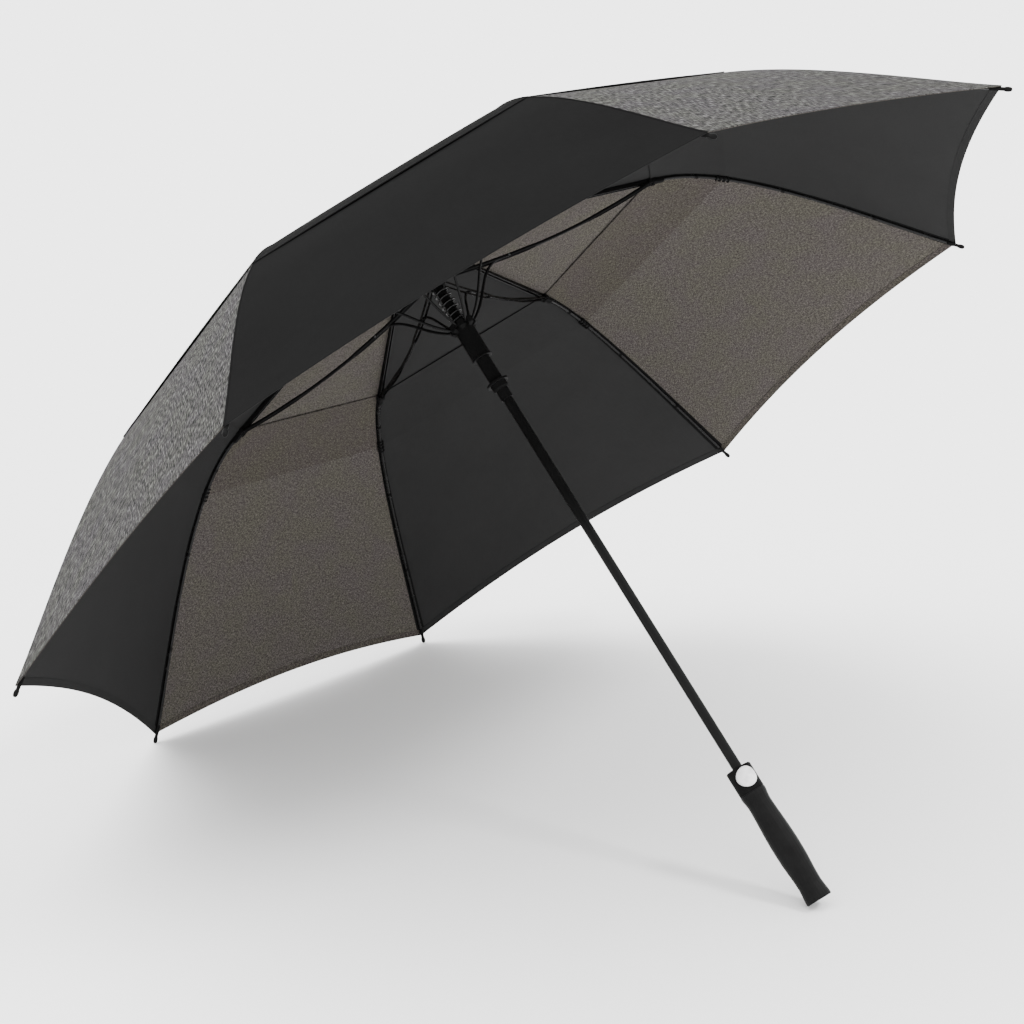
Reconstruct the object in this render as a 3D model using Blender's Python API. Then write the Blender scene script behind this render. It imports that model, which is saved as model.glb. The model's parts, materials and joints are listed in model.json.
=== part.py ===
"""Automatic golf umbrella with eight ribs and a vented double canopy.

It is open and leans on the floor, on the tips of ribs 2 and 3 and on the end of its handle.
Every piece is modelled in the umbrella's own frame: +Z runs up the shaft to the ferrule, the
rim of the canopy lies in the plane Z = 0, and ribs 2 and 3 lie either side of -X. One empty
then leans the whole umbrella and sets the bottom centre of its box at the world origin.
"""

import math

import bmesh
import bpy
import numpy as np
from mathutils import Matrix, Vector

# Driving dimensions, in metres
RIM_RADIUS = 0.657
CLEARANCE = 0.0003
RIB_COUNT = 8
STANDING_RIBS = (2, 3)
STANDING_PINCH = math.radians(1.0)

SHAFT_RADIUS = 0.006
SHAFT_WALL = 0.0008
SHAFT_TOP = 0.318
SHAFT_BOTTOM = -0.600
BORE_RADIUS = SHAFT_RADIUS + CLEARANCE

CROWN_PIVOT_RADIUS = 0.015
SLIDER_PIVOT_RADIUS = 0.014
RUNNER_PIVOT_RADIUS = 0.0153
WIRE_RADIUS = 0.0007
CROWN_HEIGHT = 0.299
SLIDER_HEIGHT = 0.2365
RUNNER_HEIGHT = 0.1695
JOINT_POINT = Vector((0.3285, 0.245))
WHEEL_RADIUS = 0.0172
WHEEL_HALF_HEIGHT = 0.0045
EYE_REACH = 0.0033
HUB_RADIUS = 0.0182
HUB_HALF_HEIGHT = 0.006
SLIDER_NECK = (0.0106, 0.0098)
SLIDER_BOTTOM = -0.0105
SLIDER_TOP = 0.009

CHANNEL_WIDTH = 0.0046
CHANNEL_HEIGHT = 0.0044
CHANNEL_WALL = 0.0009
CHANNEL_PAST_JOINT = 0.011
KNUCKLE_GAP = 0.003
ROD_RADIUS = 0.0022
ROD_TIP_RADIUS = 0.0017
ROD_START_PULL = 0.105
ROD_END_PULL = 0.100
ROD_END_SLOPE = math.radians(42.0)
TIP_RADIUS = 0.0028
TIP_INSIDE = 0.010
TIP_OUTSIDE = 0.012

STRETCHER_HALF_GAP = 0.0026
STRETCHER_HALF_WIDTH = 0.0036
STRETCHER_HALF_DEPTH = 0.002
STRETCHER_BOW = 0.012
STRETCHER_WEB = (0.118, 0.188)
STRETCHER_INNER_CUTS = (-0.0024, 0.012, 0.045, 0.082)
STRETCHER_OUTER_CUTS = (0.225, 0.265)
STRETCHER_EYE_START = 0.006
STRETCHER_EYE_END = 0.003
STRUT_REACH = 0.088
STRUT_START = (-0.0022, 0.010)
STRUT_EYE_END = 0.002
STRUT_HALF_WIDTH = 0.0015
STRUT_HALF_DEPTH = 0.0017
STRUT_BOW = 0.014
EYE_RADIUS = 0.0013

UPPER_CANOPY_START = 0.022
UPPER_CANOPY_EDGE = 0.645 * RIM_RADIUS
UPPER_CANOPY_OFFSET = 0.0060
UPPER_CANOPY_STATIONS = (0.0, 0.36, 0.72, 0.765, 0.88, 1.0)
UPPER_CANOPY_BILLOW = 0.002
LOWER_CANOPY_START = 0.50 * RIM_RADIUS
LOWER_CANOPY_OFFSET = 0.0036
LOWER_CANOPY_STATIONS = tuple(i / 7 for i in range(8))
RIM_SCALLOP = 0.022
CANOPY_THICKNESS = 0.0006

SPRING_RADIUS = 0.0095
SPRING_WIRE = 0.0010
SPRING_TURNS = 10
SPRING_SEAT = 0.030
RUNNER_RADIUS = 0.012
RUNNER_LENGTH = 0.0473
RUNNER_LIP = 0.0006
RUNNER_LIP_LENGTH = 0.0025
SLEEVE_RADIUS = 0.0086
SLEEVE_SOCKET = 0.0143
FLANGE_DEPTH = 0.0815
FLANGE_RADIUS = 0.0138
FLANGE_THICKNESS = 0.0025
COLLAR_RADIUS = 0.0102
COLLAR_LENGTH = 0.0088
LATCH_END_RADIUS = 0.0076
LATCH_END_DEPTH = 0.1058
WINDOW_LOW = (-0.010, -0.0032, -0.104)
WINDOW_HIGH = (-0.005, 0.0032, -0.097)

HEAD_TOP = -0.4440
HEAD_BOTTOM = -0.4745
HEAD_RADIUS = 0.0152
HEAD_WELL_RADIUS = 0.0084
HEAD_WELL_FLOOR = -0.4595
CHAMBER_RADIUS = 0.0124
CHAMBER_TOP = -0.457
CHAMBER_FLOOR = -0.472
BUTTON_AZIMUTH = math.radians(-30.0)
BUTTON_HEIGHT = -0.4577
BUTTON_RADIUS = 0.0117
BUTTON_BACK = 0.011
BUTTON_DISH = 29.0
BUTTON_FACE = ((1.0, 0.0003), (0.92, 0.0009), (0.6, 0.0011))
BUTTON_TRAVEL = 0.0022
BUTTON_SPRING_HEIGHT = -0.4622
BUTTON_SPRING_RADIUS = 0.0024
BUTTON_SPRING_WIRE = 0.00035
LATCH_PLATE_HEIGHT = -0.469
LATCH_PLATE_RADIUS = 0.0099
LATCH_HALF_THICKNESS = 0.001
LATCH_HALF_WIDTH = 0.0025
LATCH_ARM = (-0.0098, -0.0084)
LATCH_NOSE = (-0.0090, -0.0069)
LATCH_TOP = -0.4496
LATCH_NOSE_DEPTH = 0.0022
LATCH_HOLE_RADIUS = SHAFT_RADIUS + 0.0004

GRIP_END = -0.6134
GRIP_PROFILE = (
    (0.0152, -0.4748),
    (0.0155, -0.4766),
    (0.0153, -0.4795),
    (0.0145, -0.4835),
    (0.0139, -0.4885),
    (0.0139, -0.4945),
    (0.0143, -0.5030),
    (0.0150, -0.5155),
    (0.0157, -0.5280),
    (0.0160, -0.5400),
    (0.0160, -0.5500),
    (0.0157, -0.5625),
    (0.0148, -0.5745),
    (0.0141, -0.5860),
    (0.0139, -0.5945),
    (0.0146, -0.6020),
    (0.0153, -0.6085),
    (0.0154, -0.6118),
    (0.0148, GRIP_END),
)

FERRULE_TOP = 0.352
FERRULE_PROFILE = (
    (0.0250, 0.3055),
    (0.0250, 0.3070),
    (0.0120, 0.3100),
    (0.0090, 0.3140),
    (0.0085, 0.3200),
    (0.0062, 0.3440),
    (0.0058, 0.3495),
    (0.0035, FERRULE_TOP),
    (0.0, FERRULE_TOP),
)

ROUND_SIDES = 24


def clear_scene():
    for item in list(bpy.data.objects):
        bpy.data.objects.remove(item)


def make_material(name, colour, roughness, metallic=0.0):
    material = bpy.data.materials.new(name)
    material.use_nodes = True
    shader = material.node_tree.nodes["Principled BSDF"]
    shader.inputs["Base Color"].default_value = (*colour, 1.0)
    shader.inputs["Roughness"].default_value = roughness
    shader.inputs["Metallic"].default_value = metallic
    return material


def finish_mesh(builder, name):
    """Turns a bmesh into a closed, outward-facing mesh."""
    bmesh.ops.recalc_face_normals(builder, faces=builder.faces)
    mesh = bpy.data.meshes.new(name)
    builder.to_mesh(mesh)
    builder.free()
    return mesh


def add_object(name, mesh, material, parent=None, matrix=None, smooth=True):
    """Links one named object, placed by its matrix in the umbrella's frame."""
    item = bpy.data.objects.new(name, mesh)
    bpy.context.scene.collection.objects.link(item)
    if not mesh.materials:
        mesh.materials.append(material)
    if smooth:
        mesh.shade_smooth()
        mesh.set_sharp_from_angle(angle=math.radians(35.0))
    item.parent = parent
    if matrix is not None:
        item.matrix_local = matrix
    return item


def add_pivot(name, parent, matrix):
    pivot = bpy.data.objects.new(name, None)
    pivot.empty_display_size = 0.01
    bpy.context.scene.collection.objects.link(pivot)
    pivot.parent = parent
    pivot.matrix_local = matrix
    return pivot


def bake_boolean(mesh, tools, operation):
    """Cuts or joins the tool meshes, and returns the resulting mesh."""
    body = bpy.data.objects.new("boolean_body", mesh)
    bpy.context.scene.collection.objects.link(body)
    helpers = []
    for tool_mesh in tools:
        tool = bpy.data.objects.new("boolean_tool", tool_mesh)
        bpy.context.scene.collection.objects.link(tool)
        modifier = body.modifiers.new(operation.title(), "BOOLEAN")
        modifier.object = tool
        modifier.operation = operation
        modifier.solver = "EXACT"
        helpers.append(tool)
    graph = bpy.context.evaluated_depsgraph_get()
    result = bpy.data.meshes.new_from_object(body.evaluated_get(graph))
    result.name = mesh.name
    for helper in [body, *helpers]:
        bpy.data.objects.remove(helper)
    return result


def lathe(name, profile, sides=ROUND_SIDES):
    """Turns a closed outline of (radius, height) points about the Z axis."""
    builder = bmesh.new()
    rings = []
    for radius, height in profile:
        if radius < 1e-6:
            rings.append([builder.verts.new((0.0, 0.0, height))] * sides)
            continue
        turns = [2 * math.pi * i / sides for i in range(sides)]
        places = [(radius * math.cos(a), radius * math.sin(a), height) for a in turns]
        rings.append([builder.verts.new(place) for place in places])
    for here, there in zip(rings, rings[1:] + rings[:1]):
        for i in range(sides):
            j = (i + 1) % sides
            corners = list(dict.fromkeys((here[i], here[j], there[j], there[i])))
            if len(corners) > 2:
                builder.faces.new(corners)
    return finish_mesh(builder, name)


def drum(name, radius, low, high, sides=ROUND_SIDES):
    return lathe(name, ((0.0, low), (radius, low), (radius, high), (0.0, high)), sides)


def block(name, low, high, turn=0.0):
    """A box between two corners, turned about Z."""
    builder = bmesh.new()
    bmesh.ops.create_cube(builder, size=1.0)
    size = Vector(high) - Vector(low)
    middle = (Vector(high) + Vector(low)) / 2
    bmesh.ops.scale(builder, vec=size, verts=builder.verts)
    bmesh.ops.translate(builder, vec=middle, verts=builder.verts)
    bmesh.ops.rotate(builder, cent=(0, 0, 0), matrix=Matrix.Rotation(turn, 3, "Z"), verts=builder.verts)
    return finish_mesh(builder, name)


def prism(name, outline, low, high):
    """An upright prism over an outline of (x, y) points."""
    builder = bmesh.new()
    rings = [[builder.verts.new((x, y, z)) for x, y in outline] for z in (low, high)]
    for i in range(len(outline)):
        j = (i + 1) % len(outline)
        builder.faces.new((rings[0][i], rings[0][j], rings[1][j], rings[1][i]))
    for ring in rings:
        builder.faces.new(ring)
    return finish_mesh(builder, name)


def sweep(name, points, radii, sides, sideways=None):
    """A closed tube along points. Without a sideways list, the path lies in the XZ plane."""
    builder = bmesh.new()
    path = [Vector(p) for p in points]
    rings = []
    for i, point in enumerate(path):
        along = (path[min(i + 1, len(path) - 1)] - path[max(i - 1, 0)]).normalized()
        first = Vector(sideways[i]) if sideways else Vector((0.0, 1.0, 0.0))
        second = along.cross(first).normalized()
        ring = []
        for j in range(sides):
            angle = 2 * math.pi * j / sides
            offset = math.cos(angle) * first + math.sin(angle) * second
            ring.append(builder.verts.new(point + radii[i] * offset))
        rings.append(ring)
    for here, there in zip(rings, rings[1:]):
        for j in range(sides):
            k = (j + 1) % sides
            builder.faces.new((here[j], here[k], there[k], there[j]))
    builder.faces.new(rings[0])
    builder.faces.new(rings[-1])
    return finish_mesh(builder, name)


def coil(name, radius, wire, low, high, turns, sides=5, steps=10):
    """A helical spring about Z, from low to high."""
    points = []
    outward = []
    for i in range(turns * steps + 1):
        angle = 2 * math.pi * i / steps
        direction = Vector((math.cos(angle), math.sin(angle), 0.0))
        height = low + wire + (high - low - 2 * wire) * i / (turns * steps)
        points.append(direction * radius + Vector((0.0, 0.0, height)))
        outward.append(direction)
    return sweep(name, points, [wire] * len(points), sides, outward)


def wire_ring(name, radius, wire, height, sides=6, steps=24):
    builder = bmesh.new()
    rings = []
    for i in range(steps):
        angle = 2 * math.pi * i / steps
        ring = []
        for j in range(sides):
            turn = 2 * math.pi * j / sides
            reach = radius + wire * math.cos(turn)
            place = (reach * math.cos(angle), reach * math.sin(angle), height + wire * math.sin(turn))
            ring.append(builder.verts.new(place))
        rings.append(ring)
    for here, there in zip(rings, rings[1:] + rings[:1]):
        for j in range(sides):
            k = (j + 1) % sides
            builder.faces.new((here[j], here[k], there[k], there[j]))
    return finish_mesh(builder, name)


def cross_pin(name, radius, half_length, sides=8):
    """A round bar along Y through the origin, used to cut hinge eyes."""
    mesh = drum(name, radius, -half_length, half_length, sides)
    mesh.transform(Matrix.Rotation(math.pi / 2, 4, "X"))
    return mesh


def notched_wheel(name, profile, pivot_radius, slot_half_width):
    """A turned body with a slot for each member, and the wire ring that the members hang on."""
    slots = []
    for k in range(RIB_COUNT):
        low = (pivot_radius - EYE_REACH, -slot_half_width, -2 * WHEEL_HALF_HEIGHT)
        high = (2 * WHEEL_RADIUS, slot_half_width, 2 * WHEEL_HALF_HEIGHT)
        slots.append(block("slot", low, high, math.radians(22.5 + 45.0 * k)))
    notched = bake_boolean(lathe(name, profile), slots, "DIFFERENCE")
    ring = wire_ring("hinge_wire", pivot_radius, WIRE_RADIUS, 0.0)
    return bake_boolean(notched, [ring], "UNION")


def bay_angle(k):
    """Direction of rib k about the shaft. The two ribs that stand on the floor lean together."""
    angle = math.pi - (k - 2.5) * 2 * math.pi / RIB_COUNT
    if k == STANDING_RIBS[0]:
        angle -= STANDING_PINCH
    if k == STANDING_RIBS[1]:
        angle += STANDING_PINCH
    return angle


def bay_matrix(k, radius, height):
    return Matrix.Rotation(bay_angle(k), 4, "Z") @ Matrix.Translation((radius, 0.0, height))


def crown_pivot():
    return Vector((CROWN_PIVOT_RADIUS, CROWN_HEIGHT))


def channel_direction():
    return (JOINT_POINT - crown_pivot()).normalized()


def rod_pivot():
    """The point where the flexible rod begins to bend away from the rib's channel."""
    return JOINT_POINT + channel_direction() * (CHANNEL_PAST_JOINT + KNUCKLE_GAP)


def rod_curve(t):
    """Centre line of the outer rod, as a cubic curve from its knuckle to the rim."""
    start = rod_pivot()
    end = Vector((RIM_RADIUS, 0.0))
    first = start + channel_direction() * ROD_START_PULL
    second = end - Vector((math.cos(ROD_END_SLOPE), -math.sin(ROD_END_SLOPE))) * ROD_END_PULL
    return (1 - t) ** 3 * start + 3 * (1 - t) ** 2 * t * first + 3 * (1 - t) * t * t * second + t**3 * end


def rib_line():
    """The whole rib's centre line as dense (radius, height) points."""
    inner = [crown_pivot() + (rod_pivot() - crown_pivot()) * (i / 8) for i in range(8)]
    return np.array([*inner, *[rod_curve(i / 60) for i in range(61)]], float)


def rib_points(radii, offset):
    """Points above the rib at the given radii, offset along the rib's outward normal."""
    line = rib_line()
    slopes = np.gradient(line[:, 1], line[:, 0])
    height = np.interp(radii, line[:, 0], line[:, 1])
    slope = np.interp(radii, line[:, 0], slopes)
    length = np.sqrt(1 + slope**2)
    return np.asarray(radii) - offset * slope / length, height + offset / length


def make_channel():
    """U-shaped inner rib, open towards the handle, with an eye for the crown's wire."""
    half = CHANNEL_WIDTH / 2
    top = CHANNEL_HEIGHT / 2
    outline = (
        (-half, -top),
        (-half + CHANNEL_WALL, -top),
        (-half + CHANNEL_WALL, top - CHANNEL_WALL),
        (half - CHANNEL_WALL, top - CHANNEL_WALL),
        (half - CHANNEL_WALL, -top),
        (half, -top),
        (half, top),
        (-half, top),
    )
    length = (JOINT_POINT - crown_pivot()).length + CHANNEL_PAST_JOINT
    builder = bmesh.new()
    start = [builder.verts.new((-top, y, z)) for y, z in outline]
    end = [builder.verts.new((length, y, z)) for y, z in outline]
    for i in range(len(outline)):
        j = (i + 1) % len(outline)
        builder.faces.new((start[i], start[j], end[j], end[i]))
    builder.faces.new(start)
    builder.faces.new(end)
    mesh = finish_mesh(builder, "rib_channel")
    mesh = bake_boolean(mesh, [cross_pin("eye", EYE_RADIUS, CHANNEL_WIDTH)], "DIFFERENCE")
    direction = channel_direction()
    mesh.transform(Matrix.Rotation(math.atan2(-direction.y, direction.x), 4, "Y"))
    return mesh


def make_rod():
    """Curved outer rod from its rounded knuckle to the ball of its plastic tip."""
    pivot = rod_pivot()
    direction = channel_direction()
    points = [pivot - direction * ROD_RADIUS, pivot - direction * ROD_RADIUS * 0.6]
    radii = [ROD_RADIUS * 0.35, ROD_RADIUS * 0.8]
    steps = 10
    for i in range(steps):
        t = i / steps
        points.append(rod_curve(t))
        radii.append(ROD_RADIUS + (ROD_TIP_RADIUS - ROD_RADIUS) * t)
    end = Vector((RIM_RADIUS, 0.0))
    outward = Vector((math.cos(ROD_END_SLOPE), -math.sin(ROD_END_SLOPE)))
    for reach, radius in (
        (-TIP_INSIDE - 0.0005, ROD_TIP_RADIUS),
        (-TIP_INSIDE, TIP_RADIUS * 0.8),
        (0.0, TIP_RADIUS * 0.85),
        (TIP_OUTSIDE - 2 * TIP_RADIUS, TIP_RADIUS * 0.9),
        (TIP_OUTSIDE - TIP_RADIUS, TIP_RADIUS),
        (TIP_OUTSIDE - TIP_RADIUS * 0.3, TIP_RADIUS * 0.7),
        (TIP_OUTSIDE, TIP_RADIUS * 0.25),
    ):
        points.append(end + outward * reach)
        radii.append(radius)
    local = [(p.x - pivot.x, 0.0, p.y - pivot.y) for p in points]
    return sweep("rib_rod", local, radii, 6)


def stretcher_bow(share):
    """How far the stretcher bows towards the handle, at this share of its length."""
    return -STRETCHER_BOW * 4 * share * (1 - share)


def strut_bow(share):
    """How far the strut arches towards the crown. It bends most near the stretcher."""
    peak = 5 / 7
    return STRUT_BOW * share**2.5 * (1 - share) / (peak**2.5 * (1 - peak))


def bowed_bar(name, length, direction, bow, half_depth, rows, stations, filled):
    """A bowed flat bar in the XZ plane. rows are its Y values and stations its cuts along X.

    filled(station, row) says which cells hold material, so windows and forks stay open."""
    builder = bmesh.new()
    grid = {}
    for i, along in enumerate(stations):
        share = min(max(along / length, 0.0), 1.0)
        drop = bow(share)
        for j, across in enumerate(rows):
            for side in (0, 1):
                height = drop + (half_depth if side else -half_depth)
                grid[i, j, side] = (along, across, height)
    made = {}

    def corner(*key):
        if key not in made:
            made[key] = builder.verts.new(grid[key])
        return made[key]

    cells = {(i, j) for i in range(len(stations) - 1) for j in range(len(rows) - 1) if filled(i, j)}
    for i, j in sorted(cells):
        around = ((i, j), (i + 1, j), (i + 1, j + 1), (i, j + 1))
        for side in (0, 1):
            builder.faces.new([corner(*place, side) for place in around])
        for neighbour, a, b in (
            ((i - 1, j), (i, j), (i, j + 1)),
            ((i + 1, j), (i + 1, j), (i + 1, j + 1)),
            ((i, j - 1), (i, j), (i + 1, j)),
            ((i, j + 1), (i, j + 1), (i + 1, j + 1)),
        ):
            if neighbour not in cells:
                builder.faces.new([corner(*a, 0), corner(*b, 0), corner(*b, 1), corner(*a, 1)])
    mesh = finish_mesh(builder, name)
    mesh = bake_boolean(mesh, [cross_pin("eye", EYE_RADIUS, 2 * STRETCHER_HALF_WIDTH)], "DIFFERENCE")
    mesh.transform(Matrix.Rotation(-direction, 4, "Y"))
    return mesh


def make_stretcher():
    """Two side plates joined by a web: forks straddle the strut at one end and the rib at the other."""
    reach = JOINT_POINT - Vector((SLIDER_PIVOT_RADIUS, SLIDER_HEIGHT))
    length = reach.length
    web_start, web_end = STRETCHER_WEB
    web = (web_start, (web_start + web_end) / 2, web_end)
    eye = (length - STRETCHER_EYE_START, length + STRETCHER_EYE_END)
    stations = [*STRETCHER_INNER_CUTS, *web, *STRETCHER_OUTER_CUTS, *eye]
    rows = (-STRETCHER_HALF_WIDTH, -STRETCHER_HALF_GAP, STRETCHER_HALF_GAP, STRETCHER_HALF_WIDTH)

    def filled(i, j):
        return j != 1 or web_start <= stations[i] < web_end

    direction = math.atan2(reach.y, reach.x)
    return bowed_bar(
        "stretcher", length, direction, stretcher_bow, STRETCHER_HALF_DEPTH, rows, stations, filled
    )


def strut_end():
    """Where the strut meets the bowed stretcher."""
    reach = JOINT_POINT - Vector((SLIDER_PIVOT_RADIUS, SLIDER_HEIGHT))
    share = STRUT_REACH / reach.length
    along = reach.normalized()
    across = Vector((-along.y, along.x))
    start = Vector((SLIDER_PIVOT_RADIUS, SLIDER_HEIGHT))
    return start + along * STRUT_REACH + across * stretcher_bow(share)


def make_strut():
    reach = strut_end() - Vector((RUNNER_PIVOT_RADIUS, RUNNER_HEIGHT))
    length = reach.length
    stations = [*STRUT_START, *[length * i / 7 for i in range(1, 8)], length + STRUT_EYE_END]
    rows = (-STRUT_HALF_WIDTH, STRUT_HALF_WIDTH)
    direction = math.atan2(reach.y, reach.x)
    return bowed_bar(
        "strut", length, direction, strut_bow, STRUT_HALF_DEPTH, rows, stations, lambda i, j: True
    )


def canopy_sector(name, k, start, edge, offset, billow, scallop, pivot, stations, halves):
    """The part of one canopy layer that rib k carries: half of the gore on each side of it.

    The cloth runs straight from rib to rib, and a free edge may billow out or be cut in a scallop."""
    ribs = [(k - 2) % RIB_COUNT + 1, k % RIB_COUNT + 1]
    gaps = []
    for neighbour in ribs:
        gap = bay_angle(neighbour) - bay_angle(k)
        gaps.append((gap + math.pi) % (2 * math.pi) - math.pi)
    shares = [0.5 * step / halves for step in range(halves, 0, -1)]
    before = [(share, gaps[0]) for share in (*shares, 0.0)]
    after = [(share, gaps[1]) for share in reversed(shares)]
    columns = before + after
    builder = bmesh.new()
    layers = []
    for lift in (offset, offset + CANOPY_THICKNESS):
        sheet = []
        for share, gap in columns:
            outer = edge * (1 - scallop * 4 * share * (1 - share))
            radii = start + (outer - start) * np.array(stations)
            bulge = billow * 4 * share * (1 - share) * (radii / edge) ** 2
            reach, height = rib_points(radii, lift + bulge)
            chord = 2 * reach * math.sin(abs(gap) / 2)
            part = np.minimum(share, 0.5 - CLEARANCE / 2 / chord)
            across = np.sin(gap) * reach * part
            along = reach * (1 - part) + np.cos(gap) * reach * part
            places = zip(along - pivot.x, across, height - pivot.y)
            sheet.append([builder.verts.new(place) for place in places])
        layers.append(sheet)
    below, above = layers
    last = len(columns) - 1
    rings = len(stations) - 1
    for i in range(last):
        for j in range(rings):
            for sheet in (below, above):
                builder.faces.new((sheet[i][j], sheet[i + 1][j], sheet[i + 1][j + 1], sheet[i][j + 1]))
        for j in (0, rings):
            builder.faces.new((below[i][j], below[i + 1][j], above[i + 1][j], above[i][j]))
    for i in (0, last):
        for j in range(rings):
            builder.faces.new((below[i][j], below[i][j + 1], above[i][j + 1], above[i][j]))
    return finish_mesh(builder, name)


def make_crown():
    profile = (
        (BORE_RADIUS, -HUB_HALF_HEIGHT),
        (HUB_RADIUS - 0.0017, -HUB_HALF_HEIGHT),
        (HUB_RADIUS, -HUB_HALF_HEIGHT + 0.0015),
        (HUB_RADIUS, HUB_HALF_HEIGHT - 0.0015),
        (HUB_RADIUS - 0.0012, HUB_HALF_HEIGHT),
        (BORE_RADIUS, HUB_HALF_HEIGHT),
    )
    return notched_wheel("crown", profile, CROWN_PIVOT_RADIUS, CHANNEL_WIDTH / 2 + 2 * CLEARANCE)


def make_upper_slider():
    wide, narrow = SLIDER_NECK
    profile = (
        (BORE_RADIUS, SLIDER_BOTTOM),
        (narrow, SLIDER_BOTTOM),
        (wide, -WHEEL_HALF_HEIGHT),
        (WHEEL_RADIUS, -WHEEL_HALF_HEIGHT),
        (WHEEL_RADIUS, WHEEL_HALF_HEIGHT),
        (wide, WHEEL_HALF_HEIGHT),
        (narrow, SLIDER_TOP),
        (BORE_RADIUS, SLIDER_TOP),
    )
    return notched_wheel("upper_slider", profile, SLIDER_PIVOT_RADIUS, STRETCHER_HALF_WIDTH + CLEARANCE)


def make_runner():
    """Notched wheel on a long body, bored out at the top to take the compressed spring."""
    seat = WHEEL_HALF_HEIGHT - SPRING_SEAT
    socket = SLEEVE_SOCKET - RUNNER_LENGTH
    profile = (
        (SPRING_RADIUS + 1.4 * SPRING_WIRE, WHEEL_HALF_HEIGHT),
        (SPRING_RADIUS + 1.4 * SPRING_WIRE, seat),
        (BORE_RADIUS, seat),
        (BORE_RADIUS, socket),
        (SLEEVE_RADIUS + CLEARANCE, socket),
        (SLEEVE_RADIUS + CLEARANCE, -RUNNER_LENGTH),
        (RUNNER_RADIUS + RUNNER_LIP, -RUNNER_LENGTH),
        (RUNNER_RADIUS + RUNNER_LIP, -RUNNER_LENGTH + RUNNER_LIP_LENGTH),
        (RUNNER_RADIUS, -RUNNER_LENGTH + RUNNER_LIP_LENGTH + RUNNER_LIP),
        (RUNNER_RADIUS, -WHEEL_HALF_HEIGHT - 0.002),
        (WHEEL_RADIUS - 0.001, -WHEEL_HALF_HEIGHT),
        (WHEEL_RADIUS, -WHEEL_HALF_HEIGHT + 0.001),
        (WHEEL_RADIUS, WHEEL_HALF_HEIGHT),
    )
    return notched_wheel("runner", profile, RUNNER_PIVOT_RADIUS, STRUT_HALF_WIDTH + 3 * CLEARANCE)


def make_runner_sleeve():
    """Steel sleeve below the runner, with its finger flange, collar and the window for the latch."""
    collar = -FLANGE_DEPTH - FLANGE_THICKNESS
    profile = (
        (BORE_RADIUS, SLEEVE_SOCKET - RUNNER_LENGTH - CLEARANCE),
        (BORE_RADIUS, -LATCH_END_DEPTH),
        (LATCH_END_RADIUS, -LATCH_END_DEPTH),
        (LATCH_END_RADIUS, collar - COLLAR_LENGTH),
        (COLLAR_RADIUS * 0.86, collar - COLLAR_LENGTH),
        (COLLAR_RADIUS, collar - COLLAR_LENGTH * 0.75),
        (COLLAR_RADIUS, collar),
        (FLANGE_RADIUS, collar),
        (FLANGE_RADIUS, -FLANGE_DEPTH),
        (SLEEVE_RADIUS, -FLANGE_DEPTH),
        (SLEEVE_RADIUS, SLEEVE_SOCKET - RUNNER_LENGTH - CLEARANCE),
    )
    window = block("window", WINDOW_LOW, WINDOW_HIGH, BUTTON_AZIMUTH)
    return bake_boolean(lathe("runner_sleeve", profile), [window], "DIFFERENCE")


def radial_drum(name, radius, inner, outer, height, sides=ROUND_SIDES):
    """A round bar pointing out of the shaft towards the button."""
    mesh = drum(name, radius, inner, outer, sides)
    place = Matrix.Rotation(BUTTON_AZIMUTH, 4, "Z") @ Matrix.Translation((0.0, 0.0, height))
    mesh.transform(place @ Matrix.Rotation(math.pi / 2, 4, "Y"))
    return mesh


def make_handle_head():
    """Hollow head: a well for the runner's end, a chamber for the latch and a pocket for the button."""
    profile = (
        (BORE_RADIUS, HEAD_BOTTOM),
        (HEAD_RADIUS - 0.0002, HEAD_BOTTOM),
        (HEAD_RADIUS, HEAD_BOTTOM + 0.001),
        (HEAD_RADIUS, HEAD_TOP - 0.0012),
        (HEAD_RADIUS - 0.0012, HEAD_TOP),
        (BORE_RADIUS, HEAD_TOP),
    )
    half = LATCH_HALF_WIDTH + 0.0007
    low = (-CHAMBER_RADIUS, -half, CHAMBER_TOP - 0.001)
    high = (LATCH_NOSE[1] - 0.0001, half, LATCH_TOP + 0.0008)
    arm_pocket = block("arm_pocket", low, high, BUTTON_AZIMUTH)
    cutters = [
        arm_pocket,
        drum("well", HEAD_WELL_RADIUS, HEAD_WELL_FLOOR, HEAD_TOP + 0.001),
        drum("chamber", CHAMBER_RADIUS, CHAMBER_FLOOR, CHAMBER_TOP),
        radial_drum("pocket", BUTTON_RADIUS + 0.0004, SHAFT_RADIUS / 2, 1.5 * HEAD_RADIUS, BUTTON_HEIGHT),
    ]
    return bake_boolean(lathe("handle_head", profile), cutters, "DIFFERENCE")


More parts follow.
